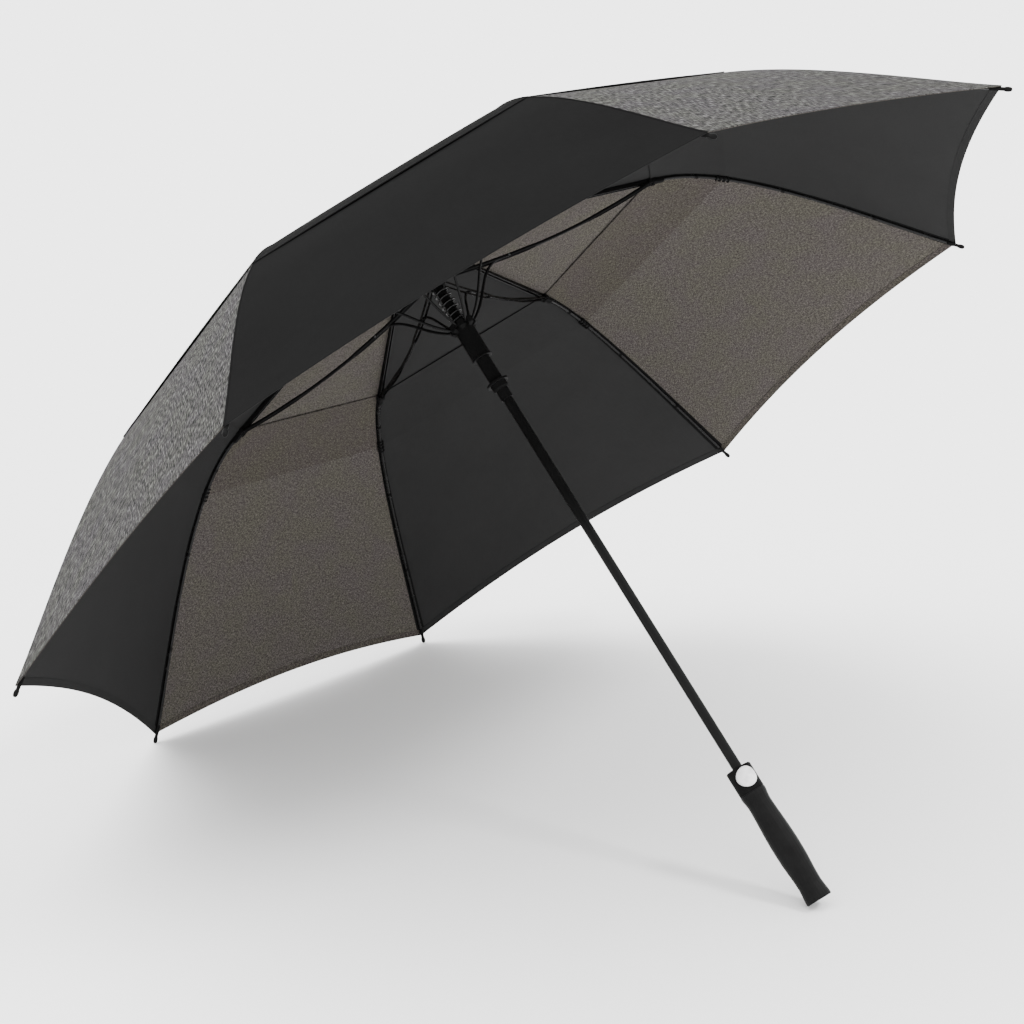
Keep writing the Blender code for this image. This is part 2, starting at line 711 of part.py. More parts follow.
def make_button():
    """Round push button. Its face follows the curve of the head, and its dished back clears the runner."""
    builder = bmesh.new()
    turns = [2 * math.pi * i / ROUND_SIDES for i in range(ROUND_SIDES)]
    back = []
    for a in turns:
        across = BUTTON_RADIUS * math.cos(a)
        depth = BUTTON_BACK - BUTTON_DISH * across**2
        back.append(builder.verts.new((depth, across, BUTTON_RADIUS * math.sin(a))))
    rings = [back]
    for share, proud in BUTTON_FACE:
        ring = []
        for a in turns:
            across = BUTTON_RADIUS * share * math.cos(a)
            depth = math.sqrt((HEAD_RADIUS + proud) ** 2 - across**2)
            ring.append(builder.verts.new((depth, across, BUTTON_RADIUS * share * math.sin(a))))
        rings.append(ring)
    for here, there in zip(rings, rings[1:]):
        for i in range(ROUND_SIDES):
            j = (i + 1) % ROUND_SIDES
            builder.faces.new((here[i], here[j], there[j], there[i]))
    front_middle = builder.verts.new((HEAD_RADIUS + BUTTON_FACE[-1][1], 0.0, 0.0))
    back_middle = builder.verts.new((BUTTON_BACK, 0.0, 0.0))
    for ring, middle in ((back, back_middle), (rings[-1], front_middle)):
        for i in range(ROUND_SIDES):
            builder.faces.new((ring[i], ring[(i + 1) % ROUND_SIDES], middle))
    return finish_mesh(builder, "button")


def make_button_spring():
    outer = BUTTON_BACK - 3 * CLEARANCE
    inner = SHAFT_RADIUS + 2 * CLEARANCE
    mesh = coil("button_spring", BUTTON_SPRING_RADIUS, BUTTON_SPRING_WIRE, inner, outer, 3)
    mesh.transform(Matrix.Rotation(math.pi / 2, 4, "Y"))
    return mesh


def make_latch():
    """Plate round the shaft behind the button, with a hook that reaches up on the far side."""
    low = LATCH_PLATE_HEIGHT - LATCH_HALF_THICKNESS - BUTTON_HEIGHT
    high = LATCH_PLATE_HEIGHT + LATCH_HALF_THICKNESS - BUTTON_HEIGHT
    top = LATCH_TOP - BUTTON_HEIGHT
    half = LATCH_HALF_WIDTH
    plate = drum("latch_plate", LATCH_PLATE_RADIUS, low, high)
    tab = block("tab", (LATCH_PLATE_RADIUS - 0.0014, -half, low), (BUTTON_BACK - 2 * CLEARANCE, half, high))
    arm = block("arm", (LATCH_ARM[0], -half, low + LATCH_HALF_THICKNESS / 2), (LATCH_ARM[1], half, top))
    nose_top = top - LATCH_HALF_THICKNESS / 5
    nose = block("nose", (LATCH_NOSE[0], -half, top - LATCH_NOSE_DEPTH), (LATCH_NOSE[1], half, nose_top))
    joined = bake_boolean(plate, [tab, arm, nose], "UNION")
    left = [math.pi / 2 + math.pi * i / 12 for i in range(13)]
    outline = [(LATCH_HOLE_RADIUS * math.cos(a), LATCH_HOLE_RADIUS * math.sin(a)) for a in left]
    outline += [(BUTTON_TRAVEL - x, -y) for x, y in outline]
    hole = prism("hole", outline, low - LATCH_HALF_THICKNESS, high + LATCH_HALF_THICKNESS)
    return bake_boolean(joined, [hole], "DIFFERENCE")


def make_shaft_tube():
    inner = SHAFT_RADIUS - SHAFT_WALL
    outside = ((SHAFT_RADIUS, SHAFT_TOP), (SHAFT_RADIUS, SHAFT_BOTTOM))
    inside = ((inner, SHAFT_BOTTOM), (inner, SHAFT_TOP))
    return lathe("shaft_tube", (*outside, *inside))


def make_grip():
    floor = SHAFT_BOTTOM - 0.001
    top = (BORE_RADIUS, GRIP_PROFILE[0][1])
    profile = (top, *GRIP_PROFILE, (0.0, GRIP_END), (0.0, floor), (BORE_RADIUS, floor))
    return lathe("grip", profile)


def make_ferrule():
    """Cap on top of the canopy: a flange that holds the cloth down and a blunt spike."""
    profile = (
        (BORE_RADIUS, CROWN_HEIGHT + 0.0072),
        *FERRULE_PROFILE,
        (0.0, SHAFT_TOP + 0.001),
        (BORE_RADIUS, SHAFT_TOP + 0.001),
    )
    return lathe("ferrule", profile)


def lean_matrix():
    """Leans the umbrella so that the standing tips and the end of the grip touch one level plane."""
    slope = Vector((math.cos(ROD_END_SLOPE), -math.sin(ROD_END_SLOPE)))
    ball = Vector((RIM_RADIUS, 0.0)) + slope * (TIP_OUTSIDE - TIP_RADIUS)
    spread = math.pi / RIB_COUNT - STANDING_PINCH
    tip = Vector((ball.x * math.cos(spread), ball.y))
    reach = tip - Vector(GRIP_PROFILE[-1])
    lean = math.atan2(reach.x, reach.y) + math.asin(TIP_RADIUS / reach.length)
    return Matrix.Rotation(lean - math.pi / 2, 4, "Y")


def stand_on_floor(root):
    """Moves the umbrella so that the bottom centre of its box is at the world origin."""
    bpy.context.view_layer.update()
    corners = []
    for item in root.children_recursive:
        if item.type == "MESH":
            corners += [item.matrix_world @ vertex.co for vertex in item.data.vertices]
    places = np.array([tuple(corner) for corner in corners])
    low = places.min(0)
    high = places.max(0)
    shift = Vector((-(low[0] + high[0]) / 2, -(low[1] + high[1]) / 2, -low[2]))
    root.matrix_local = Matrix.Translation(shift) @ root.matrix_local
    bpy.context.view_layer.update()


def build_frame(root, looks):
    """The pieces that stay still: shaft, crown, ferrule and handle."""
    add_object("shaft_tube", make_shaft_tube(), looks["steel"], root)
    crown = Matrix.Translation((0.0, 0.0, CROWN_HEIGHT))
    add_object("crown", make_crown(), looks["plastic"], root, crown)
    add_object("ferrule", make_ferrule(), looks["plastic"], root)
    add_object("handle_head", make_handle_head(), looks["plastic"], root)
    add_object("grip", make_grip(), looks["rubber"], root)


def build_sliders(root, looks):
    """The two sliders on the shaft and the spring between them."""
    slider = add_pivot("upper_slider_pivot", root, Matrix.Translation((0.0, 0.0, SLIDER_HEIGHT)))
    add_object("upper_slider", make_upper_slider(), looks["plastic"], slider)
    runner = add_pivot("runner_pivot", root, Matrix.Translation((0.0, 0.0, RUNNER_HEIGHT)))
    add_object("runner", make_runner(), looks["plastic"], runner)
    add_object("runner_sleeve", make_runner_sleeve(), looks["steel"], runner)
    low = WHEEL_HALF_HEIGHT - SPRING_SEAT + CLEARANCE
    high = SLIDER_HEIGHT - RUNNER_HEIGHT - 0.0105 - CLEARANCE
    spring = coil("opening_spring", SPRING_RADIUS, SPRING_WIRE, low, high, SPRING_TURNS)
    add_object("opening_spring", spring, looks["spring"], runner)


def build_release(root, looks):
    """The push button, its spring and the latch that it moves."""
    place = Matrix.Rotation(BUTTON_AZIMUTH, 4, "Z") @ Matrix.Translation((0.0, 0.0, BUTTON_HEIGHT))
    button = add_pivot("button_pivot", root, place)
    add_object("button", make_button(), looks["button"], button)
    lower = Matrix.Translation((0.0, 0.0, BUTTON_SPRING_HEIGHT - BUTTON_HEIGHT))
    add_object("button_spring", make_button_spring(), looks["spring"], button, lower)
    add_object("latch", make_latch(), looks["steel"], button)


def build_bays(root, looks):
    """Eight bays, each with a rib in two parts, a stretcher, a strut and its share of both canopies."""
    channel = make_channel()
    rod = make_rod()
    stretcher = make_stretcher()
    strut = make_strut()
    for k in range(1, RIB_COUNT + 1):
        cloth = looks["black_cloth"] if k % 2 else looks["grey_cloth"]
        rib = add_pivot(f"rib_{k}_pivot", root, bay_matrix(k, *crown_pivot()))
        add_object(f"rib_channel_{k}", channel, looks["steel"], rib)
        upper = canopy_sector(
            f"upper_canopy_{k}", k, UPPER_CANOPY_START, UPPER_CANOPY_EDGE, UPPER_CANOPY_OFFSET,
            UPPER_CANOPY_BILLOW, 0.0, crown_pivot(), UPPER_CANOPY_STATIONS, 2,
        )
        add_object(f"upper_canopy_{k}", upper, cloth, rib)
        flex = add_pivot(f"rod_{k}_pivot", root, bay_matrix(k, *rod_pivot()))
        add_object(f"rib_rod_{k}", rod, looks["rod"], flex)
        lower = canopy_sector(
            f"lower_canopy_{k}", k, LOWER_CANOPY_START, RIM_RADIUS, LOWER_CANOPY_OFFSET,
            0.0, RIM_SCALLOP, rod_pivot(), LOWER_CANOPY_STATIONS, 3,
        )
        add_object(f"lower_canopy_{k}", lower, cloth, flex)
        arm = add_pivot(f"stretcher_{k}_pivot", root, bay_matrix(k, SLIDER_PIVOT_RADIUS, SLIDER_HEIGHT))
        add_object(f"stretcher_{k}", stretcher, looks["steel"], arm)
        brace = add_pivot(f"strut_{k}_pivot", root, bay_matrix(k, RUNNER_PIVOT_RADIUS, RUNNER_HEIGHT))
        add_object(f"strut_{k}", strut, looks["steel"], brace)


def main():
    clear_scene()
    looks = {
        "steel": make_material("black_steel", (0.018, 0.019, 0.021), 0.32, 0.6),
        "rod": make_material("black_rod", (0.015, 0.015, 0.016), 0.25),
        "spring": make_material("spring_wire", (0.03, 0.03, 0.033), 0.3, 0.8),
        "plastic": make_material("black_plastic", (0.017, 0.018, 0.019), 0.42),
        "rubber": make_material("grip_rubber", (0.019, 0.019, 0.020), 0.5),
        "button": make_material("button_white", (0.72, 0.73, 0.75), 0.25),
        "black_cloth": make_material("black_cloth", (0.020, 0.020, 0.021), 0.8),
        "grey_cloth": make_material("grey_cloth", (0.14, 0.13, 0.12), 0.85),
    }
    root = add_pivot("umbrella", None, lean_matrix())
    build_frame(root, looks)
    build_sliders(root, looks)
    build_release(root, looks)
    build_bays(root, looks)
    stand_on_floor(root)


main()
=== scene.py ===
"""Looks of the golf umbrella: cloth, seams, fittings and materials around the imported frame."""

import json
import math
from collections import namedtuple

import bmesh
import bpy
import numpy as np
from mathutils import Matrix, Vector


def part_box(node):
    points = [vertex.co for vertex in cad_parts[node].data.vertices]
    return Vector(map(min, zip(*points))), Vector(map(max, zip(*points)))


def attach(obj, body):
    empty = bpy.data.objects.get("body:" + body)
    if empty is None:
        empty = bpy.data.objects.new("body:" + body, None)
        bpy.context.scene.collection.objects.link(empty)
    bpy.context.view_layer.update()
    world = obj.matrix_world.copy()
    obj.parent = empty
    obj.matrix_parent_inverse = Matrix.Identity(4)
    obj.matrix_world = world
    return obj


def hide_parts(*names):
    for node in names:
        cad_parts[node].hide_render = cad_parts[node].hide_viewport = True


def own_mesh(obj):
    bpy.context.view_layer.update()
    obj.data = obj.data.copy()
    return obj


# Design dimensions of the umbrella, in metres. Heights are measured up the shaft from the rim
# and points are (distance from the shaft's axis, height)
BAY_COUNT = 8
RIM_RADIUS = 0.657
SHAFT_TOP = 0.318
SHAFT_BOTTOM = -0.600
PIVOT_RADIUS = 0.015
CROWN_HEIGHT = 0.299
SLIDER_PIVOT = Vector((0.014, 0.2365))
RUNNER_PIVOT = Vector((0.0153, 0.1695))
JOINT_POINT = Vector((0.3285, 0.245))

# Rods, with their thread ties and the tape that binds the upper cloth's corner
KNUCKLE = 0.014
ROD_START_PULL = 0.105
ROD_END_PULL = 0.100
ROD_END_SLOPE = math.radians(42.0)
ROD_START_RADIUS = 0.0022
ROD_TAPER = 0.0005
TIE_SHARES = (0.14, 0.42, 0.7)
TIE_TURNS = 4
TIE_PITCH = 0.0011
TIE_CLEARANCE = 0.0001
TIE_THREAD = 0.0004
BINDING_TURNS = 6
BINDING_LENGTH = 0.0120
BINDING_PITCH = 0.0024
BINDING_LEAN = 0.0012
BINDING_OFFSET = 0.0002
BINDING_HALF_WIDTH = 0.0040
BINDING_HALF_HEIGHT = 0.0032
BINDING_TAPE = 0.0008

# Canopy. Shares are of the distance between two ribs
UPPER_START = 0.0215
UPPER_EDGE = 0.645 * RIM_RADIUS
UPPER_OFFSET = 0.0042
UPPER_BILLOW = 0.0014
CLOTH_OVERLAP = 0.003
LOWER_START = 0.50 * RIM_RADIUS
LOWER_OFFSET = 0.0031
RIM_SCALLOP = 0.022
CLOTH = 0.0005
PUCKER_HEIGHT = 0.0005
LAYER_GAP = 0.0001
HEM_CLOTH = 0.0004
SEAM_CLOTH = 0.0003
RIM_HEM = 0.007
VENT_HEM = 0.0045
INNER_HEM = 0.0015
TAPE_SHARE = 0.0125
SEAM_SHARE = 0.0035
STITCH_ROW = 0.0026
STITCH_LENGTH = 0.0032
STITCH_WIDTH = 0.0007

# Stretchers and struts
STRUT_REACH = 0.088
STRETCHER_BOW = 0.012
STRUT_BOW = 0.014
STRUT_RADIUS = 0.0017
BAR_RADIUS = 0.0021
STRIP_RADIUS = 0.0019
STRIP_SPREAD = 0.0031
STRIP_CLOSING = 0.0021
STRIPS_CLOSE = (0.36, 0.44)
STRIPS_OPEN = (0.62, 0.74)

# Springs and the runner's ring
SPRING_LOW = 0.1455
SPRING_HIGH = 0.2250
SPRING_TURNS = 10
SPRING_RADIUS = 0.0095
SPRING_GAUGE = 0.00105
BUTTON_SPRING_LENGTH = 0.0035
BUTTON_SPRING_TURNS = 3
BUTTON_SPRING_RADIUS = 0.0024
BUTTON_SPRING_GAUGE = 0.00032
RUNNER_RING_HEIGHT = 0.1226

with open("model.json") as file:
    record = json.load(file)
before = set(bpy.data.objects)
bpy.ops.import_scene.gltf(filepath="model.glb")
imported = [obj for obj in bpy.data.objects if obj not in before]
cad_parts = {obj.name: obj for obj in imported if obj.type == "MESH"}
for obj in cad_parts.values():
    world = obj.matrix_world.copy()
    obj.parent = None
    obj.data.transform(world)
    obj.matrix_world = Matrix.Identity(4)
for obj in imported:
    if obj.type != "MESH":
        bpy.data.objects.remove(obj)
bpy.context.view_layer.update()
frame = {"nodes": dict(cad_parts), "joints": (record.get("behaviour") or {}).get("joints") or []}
joints = {joint["name"]: joint for joint in frame["joints"]}
nodes = frame["nodes"]

# The umbrella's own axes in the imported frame: UP runs up the shaft, RIM is the middle of the rim
UP = -Vector(joints["runner_slide"]["axis"]).normalized()
shaft_low, shaft_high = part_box("shaft_tube")
RIM = (shaft_low + shaft_high) / 2 - UP * (SHAFT_TOP + SHAFT_BOTTOM) / 2
BAYS = range(1, BAY_COUNT + 1)


def bay_axes(k):
    """Outward and sideways directions of rib k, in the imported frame."""
    sideways = Vector(joints[f"rib_{k}_fold"]["axis"]).normalized()
    return sideways.cross(UP).normalized(), sideways


AXES = {k: bay_axes(k) for k in BAYS}


def in_bay(k, radius, height, across=0.0):
    """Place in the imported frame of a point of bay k, which may lie to the side of its rib."""
    outward, sideways = AXES[k]
    return RIM + outward * radius + UP * height + sideways * across


# ---------------------------------------------------------------- materials


class Nodes:
    """Short helper that adds shader nodes and joins them."""

    def __init__(self, name):
        self.material = bpy.data.materials.new(name)
        self.material.use_nodes = True
        self.tree = self.material.node_tree
        self.shader = self.tree.nodes["Principled BSDF"]

    def add(self, kind, **values):
        node = self.tree.nodes.new(kind)
        for key, value in values.items():
            setattr(node, key, value)
        return node

    def link(self, source, target):
        self.tree.links.new(source, target)

    def set(self, **values):
        for key, value in values.items():
            self.shader.inputs[key.replace("_", " ")].default_value = value

    def coordinates(self, output, scale=(1, 1, 1), turn=0.0):
        source = self.add("ShaderNodeTexCoord")
        mapping = self.add("ShaderNodeMapping")
        mapping.inputs["Scale"].default_value = scale
        mapping.inputs["Rotation"].default_value = (0, 0, turn)
        self.link(source.outputs[output], mapping.inputs["Vector"])
        return mapping.outputs["Vector"]

    def noise(self, vector, scale, detail=3.0, roughness=0.55):
        node = self.add("ShaderNodeTexNoise")
        node.inputs["Scale"].default_value = scale
        node.inputs["Detail"].default_value = detail
        node.inputs["Roughness"].default_value = roughness
        self.link(vector, node.inputs["Vector"])
        return node.outputs["Fac"]

    def wave(self, vector, scale, direction, distortion=0.0):
        node = self.add("ShaderNodeTexWave", bands_direction=direction)
        node.inputs["Scale"].default_value = scale
        node.inputs["Distortion"].default_value = distortion
        node.inputs["Detail Scale"].default_value = 2.0
        self.link(vector, node.inputs["Vector"])
        return node.outputs["Fac"]

    def math(self, operation, first, second=0.5):
        node = self.add("ShaderNodeMath", operation=operation)
        for index, value in enumerate((first, second)):
            if isinstance(value, (int, float)):
                node.inputs[index].default_value = value
            else:
                self.link(value, node.inputs[index])
        return node.outputs[0]

    def ramp(self, factor, stops):
        node = self.add("ShaderNodeValToRGB")
        elements = node.color_ramp.elements
        while len(elements) < len(stops):
            elements.new(0.5)
        for element, (place, colour) in zip(elements, stops):
            element.position = place
            element.color = (*colour, 1.0)
        self.link(factor, node.inputs["Fac"])
        return node.outputs["Color"]

    def levels(self, factor, low, high):
        node = self.add("ShaderNodeMapRange")
        node.inputs["To Min"].default_value = low
        node.inputs["To Max"].default_value = high
        self.link(factor, node.inputs["Value"])
        return node.outputs["Result"]

    def bump(self, height, strength, distance):
        node = self.add("ShaderNodeBump")
        node.inputs["Strength"].default_value = strength
        node.inputs["Distance"].default_value = distance
        self.link(height, node.inputs["Height"])
        self.link(node.outputs["Normal"], self.shader.inputs["Normal"])


def grey(value, warmth=0.0):
    """A linear grey from an sRGB level out of 255, slightly warm or cool."""
    level = ((value / 255 + 0.055) / 1.055) ** 2.4
    return (level * (1 + warmth), level, level * (1 - warmth))


def add_stitches(n, height):
    """The height with one row of stitches a little way in from the edge, as short raised dashes."""
    place = n.add("ShaderNodeSeparateXYZ")
    n.link(n.coordinates("UV"), place.inputs["Vector"])
    across = n.math("ABSOLUTE", place.outputs["X"])
    away = n.math("ABSOLUTE", n.math("SUBTRACT", across, STITCH_ROW))
    on_row = n.math("LESS_THAN", away, STITCH_WIDTH / 2)
    step = n.math("FRACT", n.math("DIVIDE", place.outputs["Y"], STITCH_LENGTH))
    stitch = n.math("MULTIPLY", on_row, n.math("LESS_THAN", step, 0.68))
    return n.math("ADD", height, n.math("MULTIPLY", stitch, 2.0))


def heather_cloth(name, dark, middle, light, warmth, threads, stitched=False):
    """Two-tone yarn: short streaks along both thread directions over a fine plain weave.

    threads holds how often the streaks break along their length, the share of the cross threads
    and half the width of the tone ramp, which sets the contrast."""
    n = Nodes(name)
    length, share, width = threads
    plain = n.coordinates("UV")
    along = n.noise(n.coordinates("UV", (1100.0, length, 1.0)), 1.0, 1.0)
    across = n.noise(n.coordinates("UV", (length, 1000.0, 1.0)), 1.0, 1.0)
    mottle = n.noise(plain, 170.0, 4.0, 0.6)
    streaks = n.math("ADD", n.math("MULTIPLY", along, 1.0 - share), n.math("MULTIPLY", across, share))
    tone = n.math("ADD", n.math("MULTIPLY", streaks, 0.85), n.math("MULTIPLY", mottle, 0.15))
    places = (0.5 - width, 0.5, 0.5 + width)
    stops = [(place, grey(level, warmth)) for place, level in zip(places, (dark, middle, light))]
    patches = n.noise(plain, 16.0, 4.0, 0.6)
    tints = ((0.38, (1.03, 1.03, 0.94)), (0.62, (1.02, 0.97, 1.0)))
    tinted = n.add("ShaderNodeVectorMath", operation="MULTIPLY")
    n.link(n.ramp(tone, stops), tinted.inputs[0])
    n.link(n.ramp(patches, tints), tinted.inputs[1])
    n.link(tinted.outputs["Vector"], n.shader.inputs["Base Color"])
    n.link(n.levels(streaks, 0.78, 0.95), n.shader.inputs["Roughness"])
    weave = n.math("MULTIPLY", n.wave(plain, 330.0, "X"), n.wave(plain, 330.0, "Y"))
    height = n.math("ADD", weave, n.math("MULTIPLY", streaks, 1.6))
    if stitched:
        height = add_stitches(n, height)
    n.bump(height, 0.5, 0.0004)
    n.set(Sheen_Weight=0.01, Sheen_Roughness=0.5, Specular_IOR_Level=0.02)
    return n.material


def plain_cloth(name, level, spread, warmth=0.0, stitched=False):
    """Tightly woven polyester in one colour, with faint threads, slubs and rubbed patches."""
    n = Nodes(name)
    plain = n.coordinates("UV")
    threads = n.noise(n.coordinates("UV", (900.0, 60.0, 1.0)), 1.0, 2.0)
    picks = n.noise(n.coordinates("UV", (60.0, 900.0, 1.0)), 1.0, 2.0)
    patches = n.noise(plain, 9.0, 4.0)
    tone = n.math("ADD", n.math("MULTIPLY", threads, 0.3), n.math("MULTIPLY", picks, 0.3))
    tone = n.math("ADD", tone, n.math("MULTIPLY", patches, 0.4))
    stops = ((0.35, grey(level - spread, warmth)), (0.65, grey(level + spread, warmth)))
    n.link(n.ramp(tone, stops), n.shader.inputs["Base Color"])
    n.link(n.levels(patches, 0.68, 0.85), n.shader.inputs["Roughness"])
    weave = n.math("MULTIPLY", n.wave(plain, 420.0, "X"), n.wave(plain, 420.0, "Y"))
    height = n.math("ADD", weave, threads)
    if stitched:
        height = add_stitches(n, height)
    n.bump(height, 0.2, 0.0003)
    n.set(Sheen_Weight=0.001, Sheen_Roughness=0.4, Specular_IOR_Level=0.005)
    return n.material


def coated_metal(name, level, metallic, roughness, coat):
    """Black enamelled or bare metal, with faint drawn grain and rubbed, brighter patches."""
    n = Nodes(name)
    place = n.coordinates("Object")
    fine = n.noise(place, 900.0, 4.0)
    patches = n.noise(place, 38.0, 5.0, 0.6)
    stops = ((0.3, grey(level * 0.85)), (0.6, grey(level)), (0.78, grey(min(level * 1.35, 245))))
    n.link(n.ramp(patches, stops), n.shader.inputs["Base Color"])
    n.link(n.levels(patches, roughness - 0.08, roughness + 0.12), n.shader.inputs["Roughness"])
    n.bump(fine, 0.12, 0.00006)
    n.set(Metallic=metallic, Coat_Weight=coat, Coat_Roughness=0.08, Specular_IOR_Level=0.04)
    return n.material


def moulded_plastic(name, level, roughness, texture, gloss):
    """Moulded plastic or rubber with a fine spark-eroded texture and light handling marks."""
    n = Nodes(name)
    place = n.coordinates("Object")
    pebbles = n.add("ShaderNodeTexVoronoi", feature="SMOOTH_F1")
    pebbles.inputs["Scale"].default_value = 2600.0
    n.link(place, pebbles.inputs["Vector"])
    marks = n.noise(place, 60.0, 5.0, 0.6)
    stops = ((0.3, grey(level * 0.88)), (0.7, grey(level * 1.12)))
    n.link(n.ramp(marks, stops), n.shader.inputs["Base Color"])
    n.link(n.levels(marks, roughness - 0.08, roughness + 0.1), n.shader.inputs["Roughness"])
    n.bump(pebbles.outputs["Distance"], texture, 0.00012)
    n.set(Specular_IOR_Level=gloss)
    return n.material


# Yarns of the grey cloth, as heather_cloth's threads
FINE_THREADS = (330.0, 0.5, 0.12)
LONG_THREADS = (105.0, 0.1, 0.12)
# Copies of one grey cloth. The inside copy is painted lighter and warmer for light shining through the cloth.
# The doubled copy is painted darker for the shade of the upper cloth over the lower. The outside copy is
# painted darker to offset the stronger light on the outside.
GREY_INSIDE_BACKLIT = heather_cloth("grey_cloth_inside_backlit", 42, 64, 88, 0.08, FINE_THREADS)
GREY_DOUBLE_SHADED = heather_cloth("grey_cloth_double_shaded", 37, 58, 81, 0.10, FINE_THREADS)
GREY_OUTSIDE_SHADED = heather_cloth("grey_cloth_outside_shaded", 8, 40, 100, 0.0, LONG_THREADS)
GREY_HEM = heather_cloth("grey_hem", 32, 55, 80, 0.10, FINE_THREADS, True)
# Copies of one black cloth. The inside copy is painted lighter for light shining through the cloth. The
# doubled copy is painted darker for the shade of the upper cloth. The outside copy is painted darker to
# offset the stronger light on the outside.
BLACK_INSIDE_BACKLIT = plain_cloth("black_cloth_inside_backlit", 39, 2)
BLACK_DOUBLE_SHADED = plain_cloth("black_cloth_double_shaded", 38, 2)
BLACK_OUTSIDE_SHADED = plain_cloth("black_cloth_outside_shaded", 20, 2)
BLACK_HEM = plain_cloth("black_hem", 36, 3, 0.0, True)
TAPE = plain_cloth("binding_tape", 20, 4, 0.0, True)
ENAMEL = coated_metal("black_enamel", 16, 0.0, 0.2, 0.06)
STEEL = coated_metal("bare_steel", 75, 1.0, 0.3, 0.0)
SPRING_WIRE = coated_metal("spring_wire", 50, 1.0, 0.25, 0.0)
ROD = moulded_plastic("rod_fibreglass", 24, 0.25, 0.05, 0.12)
PLASTIC = moulded_plastic("black_plastic", 18, 0.4, 0.15, 0.01)
RUBBER = moulded_plastic("grip_rubber", 20, 0.36, 0.3, 0.03)
BUTTON = moulded_plastic("button_white", 215, 0.25, 0.03, 0.3)


# ---------------------------------------------------------------- mesh helpers


def make_piece(name, builder, materials, body, replaces=(), angle=40.0):
    """Turns a bmesh into a piece that rides on a body, with edges over the angle left sharp."""
    mesh = bpy.data.meshes.new(name)
    bmesh.ops.recalc_face_normals(builder, faces=builder.faces)
    builder.to_mesh(mesh)
    builder.free()
    for material in materials:
        mesh.materials.append(material)
    mesh.shade_smooth()
    mesh.set_sharp_from_angle(angle=math.radians(angle))
    piece = bpy.data.objects.new(name, mesh)
    bpy.context.scene.collection.objects.link(piece)
    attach(piece, body)
    if replaces:
        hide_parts(*replaces)
    return piece


def add_slab(builder, low, high, uv, material, top_material):
    """A closed thin solid between two grids of points: low faces the handle and high faces out.

    Its border takes the top's material."""
    rows, columns = low.shape[:2]
    layer = builder.loops.layers.uv.verify()
    sheets = [[[builder.verts.new(p) for p in row] for row in grid] for grid in (low, high)]

    def face(corners, index, places):
        made = builder.faces.new(corners)
        made.material_index = index
        for loop, place in zip(made.loops, places):
            loop[layer].uv = uv[place]

    for sheet, index in ((sheets[0], material), (sheets[1], top_material)):
        for i in range(rows - 1):
            for j in range(columns - 1):
                places = ((i, j), (i + 1, j), (i + 1, j + 1), (i, j + 1))
                face([sheet[a][b] for a, b in places], index, places)
    border = [(i, 0) for i in range(rows)]
    border += [(rows - 1, j) for j in range(1, columns)]
    border += [(i, columns - 1) for i in range(rows - 2, -1, -1)]
    border += [(0, j) for j in range(columns - 2, 0, -1)]
    below, above = sheets
    for here, there in zip(border, border[1:] + border[:1]):
        corners = [below[here[0]][here[1]], below[there[0]][there[1]]]
        corners += [above[there[0]][there[1]], above[here[0]][here[1]]]
        face(corners, top_material, (here, there, there, here))


def add_tube(builder, points, radii, sides, first, flatten=1.0, material=0):
    """A closed tube along points. first is a direction that stays across the tube, or one for each
    point, and flatten stretches the tube along it."""
    path = [Vector(p) for p in points]
    if isinstance(radii, (int, float)):
        radii = [radii] * len(path)
    rings = []
    for i, point in enumerate(path):
        along = (path[min(i + 1, len(path) - 1)] - path[max(i - 1, 0)]).normalized()
        side = Vector(first[i] if isinstance(first, list) else first)
        side = (side - along * side.dot(along)).normalized()
        other = along.cross(side)
        ring = []
        for j in range(sides):
            angle = 2 * math.pi * j / sides
            offset = side * math.cos(angle) * flatten + other * math.sin(angle)
            ring.append(builder.verts.new(point + offset * radii[i]))
        rings.append(ring)
    for here, there in zip(rings, rings[1:]):
        for j in range(sides):
            face = builder.faces.new((here[j], here[(j + 1) % sides], there[(j + 1) % sides], there[j]))
            face.material_index = material
    for ring in (rings[0], rings[-1]):
        builder.faces.new(ring).material_index = material


def add_turned(builder, centre, axis, profile, sides, material=0):
    """A surface turned about an axis from (radius, height) points. Points on the axis close it."""
    axis = Vector(axis).normalized()
    side = axis.orthogonal().normalized()
    other = axis.cross(side)
    rings = []
    for radius, height in profile:
        middle = Vector(centre) + axis * height
        if radius < 1e-7:
            rings.append([builder.verts.new(middle)] * sides)
            continue
        turns = [2 * math.pi * j / sides for j in range(sides)]
        around = [side * math.cos(a) + other * math.sin(a) for a in turns]
        rings.append([builder.verts.new(middle + direction * radius) for direction in around])
    for here, there in zip(rings, rings[1:]):
        for j in range(sides):
            k = (j + 1) % sides
            corners = list(dict.fromkeys((here[j], here[k], there[k], there[j])))
            if len(corners) > 2:
                builder.faces.new(corners).material_index = material


def add_loop(builder, middle, across, up, thickness, count, sides, along, flatten=1.0):
    """One turn of thread or tape round a middle, with across and up as its half axes."""
    turns = [2 * math.pi * i / count for i in range(count + 1)]
    ring = [middle + across * math.cos(a) + up * math.sin(a) for a in turns]
    add_tube(builder, ring, thickness, sides, along, flatten)


def add_coil(builder, start, travel, axes, radius, wire, turns, steps, sides):
    """A helix of wire from start, that rises by the vector travel as it turns in the plane of axes."""
    points = []
    outward = []
    for i in range(turns * steps + 1):
        angle = 2 * math.pi * i / steps
        direction = axes[0] * math.cos(angle) + axes[1] * math.sin(angle)
        points.append(start + direction * radius + travel * (i / (turns * steps)))
        outward.append(direction)
    add_tube(builder, points, wire, sides, outward)


